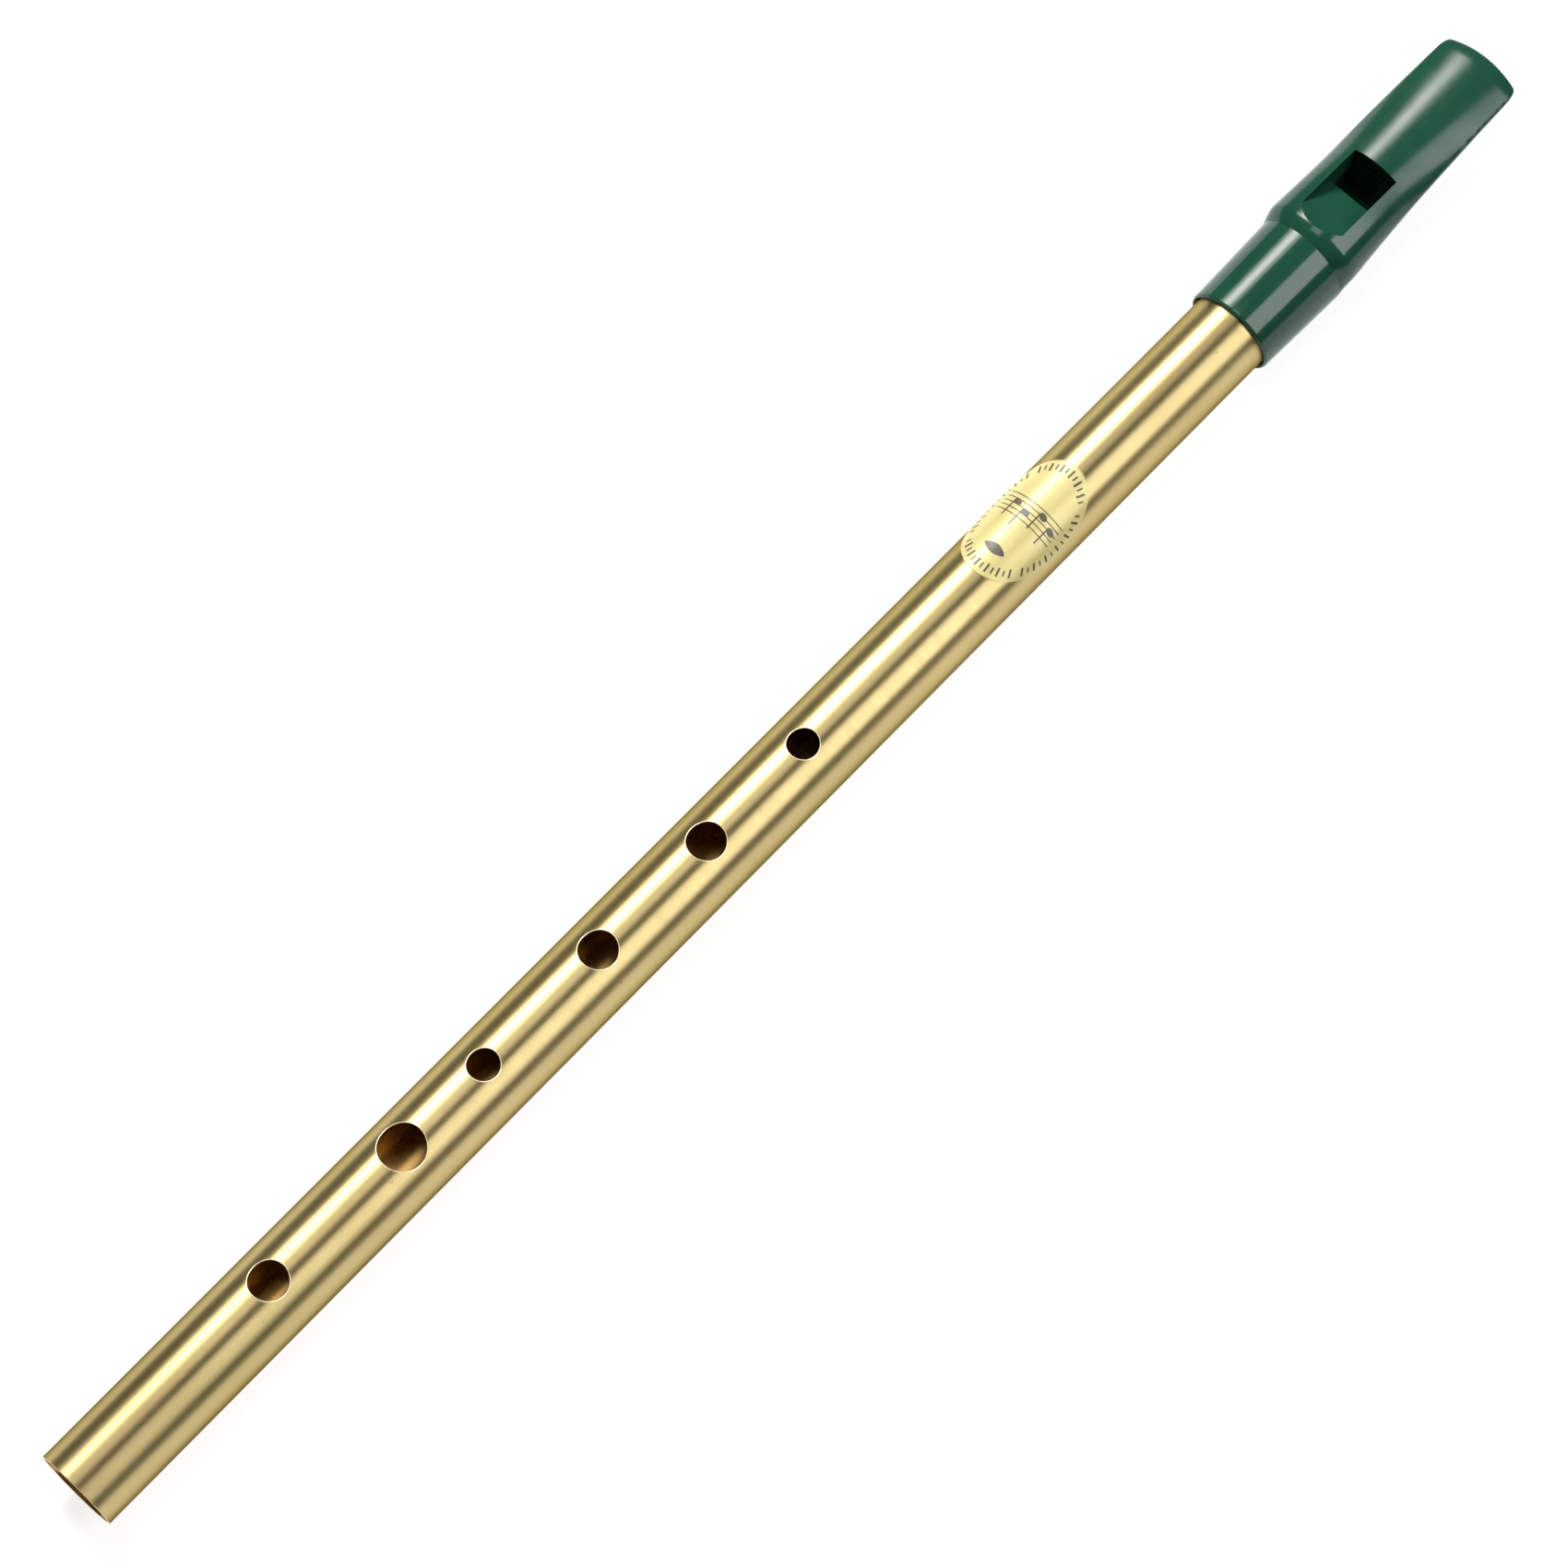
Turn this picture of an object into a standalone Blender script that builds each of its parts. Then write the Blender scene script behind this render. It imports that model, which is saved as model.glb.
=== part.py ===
"""Six-hole tin whistle: a thin brass tube pushed into a moulded plastic mouthpiece.

Lengths are in metres. The whistle lies along X, foot at -X and mouthpiece tip at +X, with its
finger holes and window facing +Z. The origin is the middle of the underside.
"""

import math

import bmesh
import bpy
import numpy as np
from mathutils import Matrix, Vector

MM = 0.001

# Overall sizes.
TOTAL_LENGTH = 300.9 * MM
TUBE_RADIUS = 6.65 * MM
TUBE_WALL = 0.4 * MM
HEAD_LENGTH = 58.5 * MM
EDGE_BREAK = 0.1 * MM

# Fits between neighbouring pieces.
SOCKET_CLEARANCE = 0.2 * MM
STOP_CLEARANCE = 0.3 * MM
BLOCK_CLEARANCE = 0.3 * MM
LABEL_CLEARANCE = 0.05 * MM

# Head, measured along X from the socket mouth.
SLEEVE_LENGTH = 16.4 * MM
SHOULDER_LENGTH = 2.6 * MM
SOCKET_DEPTH = 19.9 * MM
BLADE_FROM_MOUTH = 27.5 * MM
WINDOW_LENGTH = 5.4 * MM
RAMP_LENGTH = 9.1 * MM

# Head, across.
SLEEVE_WALL_AT_MOUTH = 0.65 * MM
SLEEVE_FLARE = 0.4 * MM
MOUTH_CHAMFER = 0.6 * MM
STOP_LEDGE = 0.65 * MM
BLADE_DROP = 1.35 * MM
BLADE_THICKNESS = 0.3 * MM
WINDOW_HALF_WIDTH = 4.1 * MM
WINDWAY_STEP = 0.6 * MM
WINDWAY_HEIGHT = 1.1 * MM
UNDERCUT_WALL = 2.5 * MM

# Finger holes: distance of each centre from the foot, and radius.
FINGER_HOLES = (
    (38.91 * MM, 3.08 * MM),
    (65.54 * MM, 3.68 * MM),
    (82.10 * MM, 2.55 * MM),
    (105.63 * MM, 3.06 * MM),
    (128.17 * MM, 3.06 * MM),
    (148.63 * MM, 2.54 * MM),
)

# Printed oval label, wrapped on top of the tube.
LABEL_TO_SOCKET = 34.3 * MM
LABEL_HALF_LENGTH = 11.3 * MM
LABEL_HALF_WRAP = 7.9 * MM
LABEL_TURN = math.radians(2.5)
LABEL_THICKNESS = 0.1 * MM

ROUND_STEPS = 96
LOFT_STEPS = 72

# Derived sizes and positions.
BORE_RADIUS = TUBE_RADIUS - TUBE_WALL
BLADE_HEIGHT = BORE_RADIUS - BLADE_DROP
WINDWAY_FLOOR = BLADE_HEIGHT - WINDWAY_STEP
CHAMBER_TOP = WINDWAY_FLOOR + BLOCK_CLEARANCE
CHAMBER_BOTTOM = STOP_LEDGE - BORE_RADIUS
CHAMBER_RADIUS = (CHAMBER_TOP - CHAMBER_BOTTOM) / 2
CHAMBER_HEIGHT = (CHAMBER_TOP + CHAMBER_BOTTOM) / 2
SLEEVE_RADIUS_AT_MOUTH = TUBE_RADIUS + SOCKET_CLEARANCE + SLEEVE_WALL_AT_MOUTH
SLEEVE_RADIUS = SLEEVE_RADIUS_AT_MOUTH + SLEEVE_FLARE
AXIS_HEIGHT = SLEEVE_RADIUS
FOOT_X = -TOTAL_LENGTH / 2
TIP_X = TOTAL_LENGTH / 2
MOUTH_X = TIP_X - HEAD_LENGTH
BODY_X = MOUTH_X + SLEEVE_LENGTH + SHOULDER_LENGTH
STOP_X = MOUTH_X + SOCKET_DEPTH
TUBE_END_X = STOP_X - STOP_CLEARANCE
BLADE_X = MOUTH_X + BLADE_FROM_MOUTH
WINDOW_END_X = BLADE_X + WINDOW_LENGTH
LABEL_X = MOUTH_X - LABEL_TO_SOCKET - LABEL_HALF_LENGTH

# Cross-sections of the mouthpiece body from its shoulder to its tip: share of the body's length,
# shape of the upper curve (0 is a half ellipse, 1 an arc of a circle), and then in tube radii
# about the tube axis the half width, the height of the widest line, the top height, and the centre
# height and radius of the round underside.
BODY_SECTIONS = (
    (0.00, 0.00, 1.255, 0.32, 1.32, 0.000, 1.060),
    (0.16, 0.10, 1.195, 0.44, 1.31, 0.000, 1.020),
    (0.34, 0.90, 1.148, 0.59, 1.29, 0.000, 0.965),
    (0.45, 1.00, 1.134, 0.67, 1.27, 0.045, 0.930),
    (0.55, 1.00, 1.121, 0.72, 1.25, 0.150, 0.850),
    (0.74, 1.00, 1.092, 0.79, 1.22, 0.420, 0.680),
    (0.90, 1.00, 1.072, 0.81, 1.19, 0.700, 0.450),
    (1.00, 1.00, 1.055, 0.83, 1.17, 0.820, 0.330),
)
SECTION_ROUNDING = 0.8 * MM
BODY_STATIONS = 15

# Shoulder from the sleeve up to the body: share of its length, then share of its rise.
SHOULDER_PROFILE = ((0.15, 0.22), (0.3, 0.41), (0.45, 0.59), (0.6, 0.75), (0.8, 0.91))

# Rounding of the beak's end. Its section shrinks to these shares at the tip, and the end face is
# bowed about TIP_BOW_RADIUS as seen from above.
TIP_ROUNDING = 2.5 * MM
TIP_WIDTH_SHARE = 0.907
TIP_HEIGHT_SHARE = 0.62
TIP_BOW_RADIUS = 29.5 * MM
TIP_BOW_POWER = 6
TIP_STEPS = (1.0, 0.6, 0.3, 0.1, 0.0)
END_FACE_RINGS = (0.55, 0.15)


def clear_scene():
    for obj in list(bpy.data.objects):
        bpy.data.objects.remove(obj, do_unlink=True)


def new_collection(name):
    collection = bpy.data.collections.new(name)
    bpy.context.scene.collection.children.link(collection)
    return collection


def new_material(name, colour, metallic, roughness):
    material = bpy.data.materials.new(name)
    material.use_nodes = True
    shader = material.node_tree.nodes["Principled BSDF"]
    shader.inputs["Base Color"].default_value = (*colour, 1.0)
    shader.inputs["Metallic"].default_value = metallic
    shader.inputs["Roughness"].default_value = roughness
    material.diffuse_color = (*colour, 1.0)
    return material


def object_from_bmesh(mesh_data, name, collection, origin):
    """Make an object whose vertices were given in world positions, with its origin at origin."""
    bmesh.ops.translate(mesh_data, verts=mesh_data.verts, vec=-Vector(origin))
    bmesh.ops.recalc_face_normals(mesh_data, faces=mesh_data.faces)
    mesh = bpy.data.meshes.new(name)
    mesh_data.to_mesh(mesh)
    mesh_data.free()
    obj = bpy.data.objects.new(name, mesh)
    obj.location = origin
    collection.objects.link(obj)
    return obj


def smooth_by_angle(obj, degrees):
    obj.data.polygons.foreach_set("use_smooth", [True] * len(obj.data.polygons))
    obj.data.set_sharp_from_angle(angle=math.radians(degrees))


def cylinder_cutter(name, collection, radius, start, end, steps):
    """A closed cylinder between two points."""
    start = Vector(start)
    end = Vector(end)
    along = end - start
    shape = bmesh.new()
    turn = along.to_track_quat("Z", "Y").to_matrix().to_4x4()
    bmesh.ops.create_cone(
        shape,
        cap_ends=True,
        segments=steps,
        radius1=radius,
        radius2=radius,
        depth=along.length,
        matrix=Matrix.Translation((start + end) / 2) @ turn,
    )
    return as_cutter(object_from_bmesh(shape, name, collection, (0, 0, 0)))


def prism_cutter(name, collection, outline, half_widths):
    """A closed prism across Y through the (x, z) outline, with one half width for each corner."""
    shape = bmesh.new()
    sides = []
    for sign in (-1, 1):
        sides.append([shape.verts.new((x, sign * w, z)) for (x, z), w in zip(outline, half_widths)])
    shape.faces.new(sides[0])
    shape.faces.new(sides[1])
    count = len(outline)
    for i in range(count):
        j = (i + 1) % count
        shape.faces.new((sides[0][i], sides[0][j], sides[1][j], sides[1][i]))
    return as_cutter(object_from_bmesh(shape, name, collection, (0, 0, 0)))


def box_cutter(name, collection, half_width, x_range, z_range):
    x0, x1 = x_range
    z0, z1 = z_range
    outline = ((x0, z0), (x1, z0), (x1, z1), (x0, z1))
    return prism_cutter(name, collection, outline, [half_width] * 4)


def as_cutter(obj):
    obj.hide_render = True
    obj.display_type = "WIRE"
    return obj


def add_boolean(obj, cutter, operation="DIFFERENCE"):
    modifier = obj.modifiers.new(f"{operation.lower()} {cutter.name}", "BOOLEAN")
    modifier.operation = operation
    modifier.solver = "EXACT"
    modifier.object = cutter


def upper_curve(dome, turns, width, rise):
    """Heights of a half ellipse, brought by the share called dome to an arc of the same ends."""
    ellipse = rise * np.sin(turns)
    radius = (width ** 2 + rise ** 2) / (2 * rise)
    arc = np.sqrt(radius ** 2 - (width * np.cos(turns)) ** 2) - (radius - rise)
    return np.where(ellipse > 0, ellipse + dome * (arc - ellipse), ellipse)


def section_points(dome, half_width, widest, top, low_centre, low_radius):
    """Points round one body section: the smallest convex outline round a lens and a circle.

    Its corners are rounded. The points start half a step round, so the part lies on a facet and
    not on an edge.
    """
    turns = np.linspace(0, 2 * math.pi, 360, endpoint=False)
    normals = np.stack([np.cos(turns), np.sin(turns)], 1)
    width, rise = half_width - SECTION_ROUNDING, top - widest - SECTION_ROUNDING
    heights = widest + upper_curve(dome, turns, width, rise)
    lens = np.stack([width * np.cos(turns), heights], 1)
    circle = (0, low_centre) + (low_radius - SECTION_ROUNDING) * normals
    points = np.concatenate([lens, circle])
    middle = (top + low_centre - low_radius) / 2
    rays = 2 * math.pi * (np.arange(LOFT_STEPS) + 0.5) / LOFT_STEPS
    reach = ((points - (0, middle)) @ normals.T).max(axis=0) + SECTION_ROUNDING
    facing = np.cos(rays[:, None] - turns[None, :])
    shares = np.where(facing > 0.05, reach[None, :] / np.maximum(facing, 0.05), np.inf)
    distance = shares.min(axis=1)
    return np.stack([distance * np.cos(rays), middle + distance * np.sin(rays)], 1)


def body_section(share):
    """The section at a share of the body's length, in metres about the tube axis."""
    table = np.array(BODY_SECTIONS)
    dome, *sizes = [np.interp(share, table[:, 0], column) for column in table[:, 1:].T]
    return section_points(dome, *[size * TUBE_RADIUS for size in sizes])


def circle_section(radius):
    return section_points(0.0, radius, 0.0, radius, 0.0, radius)


def scaled_section(section, wide, high):
    """A section scaled across and about the middle of its height."""
    middle = (section[:, 1].max() + section[:, 1].min()) / 2
    return np.stack([section[:, 0] * wide, middle + (section[:, 1] - middle) * high], 1)


def head_stations():
    """(x, section, share of the end's bow) from the socket mouth to the tip."""
    sleeve_end = MOUTH_X + SLEEVE_LENGTH
    stations = [
        (MOUTH_X, circle_section(SLEEVE_RADIUS_AT_MOUTH - MOUTH_CHAMFER * 0.6), 0.0),
        (MOUTH_X + MOUTH_CHAMFER * 0.35, circle_section(SLEEVE_RADIUS_AT_MOUTH - MOUTH_CHAMFER * 0.2), 0.0),
        (MOUTH_X + MOUTH_CHAMFER, circle_section(SLEEVE_RADIUS_AT_MOUTH), 0.0),
        (sleeve_end, circle_section(SLEEVE_RADIUS), 0.0),
    ]
    first = body_section(0.0)
    last_circle = circle_section(SLEEVE_RADIUS)
    for share, mix in SHOULDER_PROFILE:
        section = last_circle * (1 - mix) + first * mix
        stations.append((sleeve_end + share * SHOULDER_LENGTH, section, 0.0))
    body_length = TIP_X - BODY_X
    straight = (body_length - TIP_ROUNDING) / body_length
    for share in np.linspace(0, straight, BODY_STATIONS)[:-1]:
        stations.append((BODY_X + share * body_length, body_section(share), share ** TIP_BOW_POWER))
    for back in TIP_STEPS:
        share = 1 - back * TIP_ROUNDING / body_length
        shrink = 1 - math.sqrt(1 - (1 - back) ** 2)
        wide = 1 - (1 - TIP_WIDTH_SHARE) * shrink
        high = 1 - (1 - TIP_HEIGHT_SHARE) * shrink
        section = scaled_section(body_section(share), wide, high)
        stations.append((TIP_X - back * TIP_ROUNDING, section, share ** TIP_BOW_POWER))
    for scale in END_FACE_RINGS:
        stations.append((TIP_X, scaled_section(section, scale, scale), 1.0))
    return stations


def loft(name, collection, stations, origin):
    """A closed solid through stations of matching section points."""
    shape = bmesh.new()
    rings = []
    for x, section, bow in stations:
        back = bow * section[:, 0] ** 2 / (2 * TIP_BOW_RADIUS)
        rings.append(
            [shape.verts.new((x - b, y, AXIS_HEIGHT + z)) for b, (y, z) in zip(back, section)]
        )
    for near, far in zip(rings, rings[1:]):
        for i in range(LOFT_STEPS):
            j = (i + 1) % LOFT_STEPS
            shape.faces.new((near[i], near[j], far[j], far[i]))
    shape.faces.new(rings[0])
    shape.faces.new(rings[-1])
    return object_from_bmesh(shape, name, collection, origin)


def build_tube(parts, cutters, material):
    """Thin round tube with six finger holes along the top, lying on a facet."""
    length = TUBE_END_X - FOOT_X
    profile = (
        (TUBE_RADIUS, length - EDGE_BREAK),
        (TUBE_RADIUS, EDGE_BREAK),
        (TUBE_RADIUS - EDGE_BREAK, 0.0),
        (BORE_RADIUS + EDGE_BREAK, 0.0),
        (BORE_RADIUS, EDGE_BREAK),
        (BORE_RADIUS, length - EDGE_BREAK),
        (BORE_RADIUS + EDGE_BREAK, length),
        (TUBE_RADIUS - EDGE_BREAK, length),
    )
    mesh = bpy.data.meshes.new("tube")
    edges = [(i, (i + 1) % len(profile)) for i in range(len(profile))]
    half_step = math.pi / ROUND_STEPS
    points = [(r * math.cos(half_step), r * math.sin(half_step), z) for r, z in profile]
    mesh.from_pydata(points, edges, [])
    tube = bpy.data.objects.new("tube", mesh)
    parts.objects.link(tube)
    tube.location = (FOOT_X, 0, AXIS_HEIGHT)
    tube.rotation_euler = (0, math.pi / 2, 0)
    screw = tube.modifiers.new("revolve", "SCREW")
    screw.axis = "Z"
    screw.angle = 2 * math.pi
    screw.steps = ROUND_STEPS
    screw.render_steps = ROUND_STEPS
    screw.use_merge_vertices = True
    screw.merge_threshold = 0.00001
    screw.use_smooth_shade = True
    for number, (distance, radius) in enumerate(FINGER_HOLES, start=1):
        x = FOOT_X + distance
        top = AXIS_HEIGHT + 2 * TUBE_RADIUS
        cutter = cylinder_cutter(
            f"finger_hole_{number}", cutters, radius, (x, 0, AXIS_HEIGHT), (x, 0, top), 40
        )
        add_boolean(tube, cutter)
    tube.data.materials.append(material)
    return tube


def air_path_outline():
    """(x, z) corners of the cut for the ramp, the blade, the window and the windway."""
    axis = AXIS_HEIGHT
    blade_top = axis + BLADE_HEIGHT
    blade_low = blade_top - BLADE_THICKNESS
    slope = (BODY_SECTIONS[0][4] * TUBE_RADIUS - BLADE_HEIGHT) / RAMP_LENGTH
    undercut = BLADE_X - STOP_X - UNDERCUT_WALL
    above = 2 * TUBE_RADIUS
    beyond = TIP_X + TUBE_RADIUS
    return (
        (BLADE_X - undercut, axis),
        (beyond, axis),
        (beyond, axis + WINDWAY_FLOOR + WINDWAY_HEIGHT),
        (WINDOW_END_X, axis + WINDWAY_FLOOR + WINDWAY_HEIGHT),
        (WINDOW_END_X, axis + above),
        (BLADE_X - (above - BLADE_HEIGHT) / slope, axis + above),
        (BLADE_X, blade_top),
        (BLADE_X, blade_low),
        (BLADE_X - undercut, blade_low + slope * undercut / 2),
    )


def build_head_shell(parts, cutters, material):
    """Moulded mouthpiece: sleeve, shoulder, window with its ramp and blade, and the beak."""
    shell = loft("head_shell", parts, head_stations(), (MOUTH_X, 0, AXIS_HEIGHT))
    beyond = TUBE_RADIUS
    axis = AXIS_HEIGHT
    middle = AXIS_HEIGHT + CHAMBER_HEIGHT
    socket = cylinder_cutter(
        "socket",
        cutters,
        TUBE_RADIUS + SOCKET_CLEARANCE,
        (MOUTH_X - beyond, 0, axis),
        (STOP_X, 0, axis),
        ROUND_STEPS,
    )
    chamber = cylinder_cutter(
        "chamber",
        cutters,
        CHAMBER_RADIUS,
        (MOUTH_X, 0, middle),
        (TIP_X + beyond, 0, middle),
        ROUND_STEPS,
    )
    outline = air_path_outline()
    air_path = prism_cutter("air_path", cutters, outline, [WINDOW_HALF_WIDTH] * len(outline))
    for cutter in (socket, chamber, air_path):
        add_boolean(shell, cutter)
    shell.data.materials.append(material)
    smooth_by_angle(shell, 15)
    return shell


def build_fipple_block(parts, cutters, material):
    """Plug under the windway, cut flush with the underside and the tip of the beak."""
    outline = loft("beak_outline", cutters, head_stations(), (0, 0, 0))
    as_cutter(outline)
    middle = AXIS_HEIGHT + CHAMBER_HEIGHT
    end = TIP_X + TUBE_RADIUS
    block = cylinder_cutter(
        "fipple_block",
        parts,
        CHAMBER_RADIUS - BLOCK_CLEARANCE,
        (WINDOW_END_X, 0, middle),
        (end, 0, middle),
        LOFT_STEPS,
    )
    block.hide_render = False
    block.display_type = "TEXTURED"
    rib = box_cutter(
        "windway_floor",
        cutters,
        WINDOW_HALF_WIDTH - BLOCK_CLEARANCE,
        (WINDOW_END_X, end),
        (AXIS_HEIGHT, AXIS_HEIGHT + WINDWAY_FLOOR),
    )
    add_boolean(block, rib, "UNION")
    add_boolean(block, outline, "INTERSECT")
    block.data.materials.append(material)
    smooth_by_angle(block, 30)
    return block


def build_label(parts, material):
    """Oval printed film wrapped on the tube, in line with the finger holes."""
    rings = 8
    sectors = 64
    inner = TUBE_RADIUS + LABEL_CLEARANCE
    shape = bmesh.new()

    def wrapped(share, turn, radius):
        along = share * LABEL_HALF_LENGTH * math.cos(turn)
        around = LABEL_TURN + share * LABEL_HALF_WRAP * math.sin(turn) / TUBE_RADIUS
        height = AXIS_HEIGHT + radius * math.cos(around)
        return shape.verts.new((LABEL_X + along, radius * math.sin(around), height))

    skins = []
    for radius in (inner, inner + LABEL_THICKNESS):
        skin = [[wrapped(0.0, 0.0, radius)] * sectors]
        for ring in range(1, rings + 1):
            turns = [2 * math.pi * i / sectors for i in range(sectors)]
            skin.append([wrapped(ring / rings, turn, radius) for turn in turns])
        skins.append(skin)
    for i in range(sectors):
        j = (i + 1) % sectors
        for skin in skins:
            shape.faces.new((skin[0][0], skin[1][i], skin[1][j]))
            for near, far in zip(skin[1:], skin[2:]):
                shape.faces.new((near[i], near[j], far[j], far[i]))
        low = skins[0][-1]
        high = skins[1][-1]
        shape.faces.new((low[i], low[j], high[j], high[i]))
    label = object_from_bmesh(shape, "label", parts, (LABEL_X, 0, AXIS_HEIGHT))
    label.data.materials.append(material)
    smooth_by_angle(label, 30)
    return label


def build():
    clear_scene()
    parts = new_collection("tin_whistle")
    cutters = new_collection("cutters")
    cutters.hide_render = True
    brass = new_material("brass", (0.72, 0.58, 0.33), 1.0, 0.32)
    green_plastic = new_material("green_plastic", (0.012, 0.085, 0.045), 0.0, 0.3)
    block_plastic = new_material("block_plastic", (0.01, 0.075, 0.04), 0.0, 0.4)
    label_film = new_material("label_film", (0.85, 0.78, 0.45), 0.0, 0.35)
    build_tube(parts, cutters, brass)
    build_head_shell(parts, cutters, green_plastic)
    build_fipple_block(parts, cutters, block_plastic)
    build_label(parts, label_film)


build()
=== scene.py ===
import math

import bmesh
import bpy
import numpy as np
from mathutils import Matrix, Vector


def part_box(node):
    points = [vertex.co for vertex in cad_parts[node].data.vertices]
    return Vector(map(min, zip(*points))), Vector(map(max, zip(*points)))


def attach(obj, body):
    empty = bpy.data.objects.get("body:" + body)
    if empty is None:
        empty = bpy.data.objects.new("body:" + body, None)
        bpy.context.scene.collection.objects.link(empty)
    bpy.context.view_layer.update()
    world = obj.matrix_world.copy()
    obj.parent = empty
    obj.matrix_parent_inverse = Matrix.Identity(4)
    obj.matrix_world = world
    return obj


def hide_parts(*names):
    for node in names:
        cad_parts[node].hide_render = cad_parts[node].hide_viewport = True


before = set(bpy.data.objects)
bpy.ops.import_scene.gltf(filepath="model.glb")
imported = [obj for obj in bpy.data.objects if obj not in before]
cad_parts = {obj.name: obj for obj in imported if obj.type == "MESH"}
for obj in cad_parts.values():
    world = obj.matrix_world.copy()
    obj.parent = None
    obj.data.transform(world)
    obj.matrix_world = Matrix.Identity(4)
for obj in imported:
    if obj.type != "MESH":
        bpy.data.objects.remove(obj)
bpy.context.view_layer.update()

MM = 0.001

# Places taken from the CAD model.
TUBE_LOW, TUBE_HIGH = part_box("tube")
SHELL_LOW, SHELL_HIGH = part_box("head_shell")
LABEL_LOW, LABEL_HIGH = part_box("label")
TUBE_RADIUS = (TUBE_HIGH.y - TUBE_LOW.y) / 2
AXIS_HEIGHT = (TUBE_HIGH.z + TUBE_LOW.z) / 2
FOOT_X = TUBE_LOW.x
TUBE_END_X = TUBE_HIGH.x
MOUTH_X = SHELL_LOW.x
TIP_X = SHELL_HIGH.x
LABEL_X = (LABEL_LOW.x + LABEL_HIGH.x) / 2
WINDOW_END_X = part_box("fipple_block")[0].x

# Tube: bore, rounding of its cut ends, the radius of the lip round the holes and the share of it
# sunk in the wall, and each hole's distance from the foot and radius.
BORE_RADIUS = TUBE_RADIUS - 0.4 * MM
END_ROUNDING = 0.08 * MM
HOLE_LIP = 0.075 * MM
RIM_SINK = 0.35
FINGER_HOLES = (
    (38.91 * MM, 3.08 * MM),
    (65.54 * MM, 3.68 * MM),
    (82.10 * MM, 2.55 * MM),
    (105.63 * MM, 3.06 * MM),
    (128.17 * MM, 3.06 * MM),
    (148.63 * MM, 2.54 * MM),
)

# Head.
SOCKET_RADIUS = TUBE_RADIUS + 0.2 * MM
SOCKET_LEAD_IN = 0.25 * MM
SLEEVE_RADIUS_AT_MOUTH = SOCKET_RADIUS + 0.65 * MM
SLEEVE_RADIUS = SLEEVE_RADIUS_AT_MOUTH + 0.4 * MM
SLEEVE_END_X = MOUTH_X + 16.4 * MM
MOUTH_CHAMFER_LENGTH = 0.6 * MM
MOUTH_CHAMFER_DEPTH = 0.36 * MM
BODY_X = SLEEVE_END_X + 2.6 * MM
SHOULDER_POWER = 1.55
STOP_X = MOUTH_X + 19.9 * MM
BLADE_X = MOUTH_X + 27.5 * MM
RAMP_LENGTH = 9.1 * MM
BLADE_HEIGHT = BORE_RADIUS - 1.35 * MM
BLADE_THICKNESS = 0.3 * MM
UNDERCUT_FROM_STOP = 2.5 * MM
WINDOW_HALF_WIDTH = 4.1 * MM
WINDWAY_FLOOR = BLADE_HEIGHT - 0.6 * MM
WINDWAY_ROOF = WINDWAY_FLOOR + 1.1 * MM
BLOCK_CLEARANCE = 0.3 * MM
CHAMBER_TOP = WINDWAY_FLOOR + BLOCK_CLEARANCE
CHAMBER_BOTTOM = 0.65 * MM - BORE_RADIUS
CHAMBER_RADIUS = (CHAMBER_TOP - CHAMBER_BOTTOM) / 2
CHAMBER_HEIGHT = (CHAMBER_TOP + CHAMBER_BOTTOM) / 2

# Body sections: share of the body's length, shape of the upper curve (0 is a half ellipse, 1 an
# arc of a circle), then in tube radii the half width, the height of the widest line, the top
# height, and the centre height and radius of the round underside.
BODY_SECTIONS = (
    (0.00, 0.00, 1.255, 0.32, 1.32, 0.000, 1.060),
    (0.16, 0.10, 1.195, 0.44, 1.31, 0.000, 1.020),
    (0.34, 0.90, 1.148, 0.59, 1.29, 0.000, 0.965),
    (0.45, 1.00, 1.134, 0.67, 1.27, 0.045, 0.930),
    (0.55, 1.00, 1.121, 0.72, 1.25, 0.150, 0.850),
    (0.74, 1.00, 1.092, 0.79, 1.22, 0.420, 0.680),
    (0.90, 1.00, 1.072, 0.81, 1.19, 0.700, 0.450),
    (1.00, 1.00, 1.055, 0.83, 1.17, 0.820, 0.330),
)
SECTION_ROUNDING = 0.8 * MM
# The share of the body's length each side of a section over which the table is eased.
SECTION_EASING = 0.04
SECTION_STEPS = 144
# The smooth sections are drawn this much smaller than the CAD's sections, to stay in its box.
INSIDE_BOX = 0.9992
TIP_ROUNDING = 2.5 * MM
TIP_WIDTH_SHARE = 0.907
TIP_HEIGHT_SHARE = 0.62
TIP_BOW_RADIUS = 29.5 * MM
TIP_BOW_POWER = 6

# Camera: place and axes in the row frame, fitted to the photograph's outlines.
CAMERA_AT = Vector((-0.18661, -0.18914, 0.71127))
CAMERA_RIGHT = Vector((0.68471506, -0.72853314, -0.02011858))
CAMERA_DOWN = Vector((-0.68816893, -0.63719629, -0.34699339))
CAMERA_LENS = 117.68

# Label: an oval film wrapped on the tube, turned a little from the top.
LABEL_HALF_LENGTH = 11.3 * MM
LABEL_HALF_WRAP = 7.9 * MM
LABEL_TURN = math.radians(2.5)
LABEL_INNER = TUBE_RADIUS + 0.05 * MM
LABEL_OUTER = LABEL_INNER + 0.1 * MM
INK_RADIUS = LABEL_OUTER + 0.02 * MM

# Label print: the share of the oval where the rim's strokes stand, and for short and long strokes
# the reach in from it, the reach out from it and the width.
PRINT_RIM = 0.88
PRINT_STROKES = 52
STROKES_PER_GROUP = 13
GAP_IN_GROUP = 6
SHORT_STROKE = (0.05, 0.04, 0.26 * MM)
LONG_STROKE = (0.075, 0.06, 0.34 * MM)
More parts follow.
